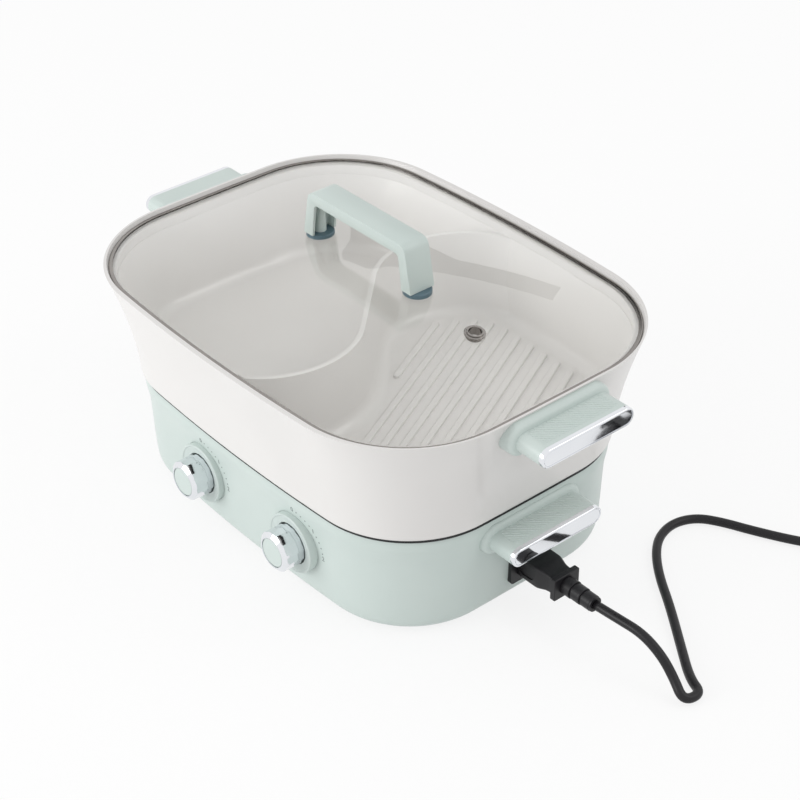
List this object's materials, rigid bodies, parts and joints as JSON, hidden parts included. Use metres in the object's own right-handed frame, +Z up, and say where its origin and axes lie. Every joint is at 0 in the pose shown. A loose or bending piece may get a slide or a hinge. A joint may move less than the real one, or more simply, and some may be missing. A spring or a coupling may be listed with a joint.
{
  "type": "electric hot pot",
  "caption": "Electric hot pot: heating base with dial controls and a plug-in mains lead, lift-out divided pot and lift-off glass lid.",
  "frame": {"origin": "on the table surface under the middle of the pot", "axes": "+Z up, +X towards the end with the mains inlet, -Y towards the front with the dials"},
  "size_m": [0.7166, 0.4288, 0.26],
  "materials": {
    "mint_plastic": "satin moulded",
    "dark_plastic": "fine texture",
    "rubber": "matt",
    "steel": "drawn",
    "chrome": "mirror plated",
    "aluminium": "cast",
    "pot_coating": "off-white ceramic coating on cast aluminium",
    "glass": "clear tempered",
    "brass": "plated"
  },
  "bodies": {
    "base": {"base_shell": "mint_plastic", "bottom_cover": "dark_plastic", "cover_screws": "steel", "rubber_feet": "rubber", "seat_gasket": "rubber", "heat_shield": "steel", "heating_plate_left": "aluminium", "heating_plate_right": "aluminium", "heating_element_left": "steel", "heating_element_right": "steel", "plate_posts": "steel", "base_grip_left": "mint_plastic", "base_grip_right": "mint_plastic", "base_trim_left": "chrome", "base_trim_right": "chrome", "base_handle_screws": "steel", "dial_bezel_left": "mint_plastic", "dial_bezel_right": "mint_plastic", "thermostat_left": "dark_plastic", "thermostat_right": "dark_plastic", "inlet_socket": "dark_plastic", "inlet_pins": "brass"},
    "knob_left": {"knob_left": "chrome", "knob_cap_left": "mint_plastic", "knob_shaft_left": "dark_plastic"},
    "knob_right": {"knob_right": "chrome", "knob_cap_right": "mint_plastic", "knob_shaft_right": "dark_plastic"},
    "pot": {"pot_body": "pot_coating", "pot_grip_left": "mint_plastic", "pot_grip_right": "mint_plastic", "pot_trim_left": "chrome", "pot_trim_right": "chrome", "pot_handle_screws": "steel"},
    "lid": {"lid_glass": "glass", "lid_ring": "steel", "lid_handle": "mint_plastic", "handle_washers": "steel", "lid_screws": "steel", "vent_eyelet": "steel"},
    "lead": {"connector_body": "dark_plastic", "strain_relief": "rubber", "cord_lead": "rubber", "cord_coil": "rubber", "coil_tie": "rubber", "cord_tail": "rubber", "plug_body": "dark_plastic", "plug_pins": "brass"}
  },
  "joints": [
    {"name": "lid_lift", "type": "slide", "parent": "pot", "child": "lid", "axis": [0, 0, 1], "range_m": [0, 0.08]},
    {"name": "pot_lift", "type": "slide", "parent": "base", "child": "pot", "axis": [0, 0, 1], "range_m": [0, 0.12]},
    {"name": "knob_left_turn", "type": "hinge", "parent": "base", "child": "knob_left", "pos_m": [-0.0505, -0.13, 0.0502], "axis": [0, 1, 0], "range_deg": [0, 90]},
    {"name": "knob_right_turn", "type": "hinge", "parent": "base", "child": "knob_right", "pos_m": [0.0675, -0.13, 0.0502], "axis": [0, 1, 0], "range_deg": [0, 90]},
    {"name": "lead_pull", "type": "slide", "parent": "base", "child": "lead", "axis": [1, 0, 0], "range_m": [0, 0.03]}
  ]
}
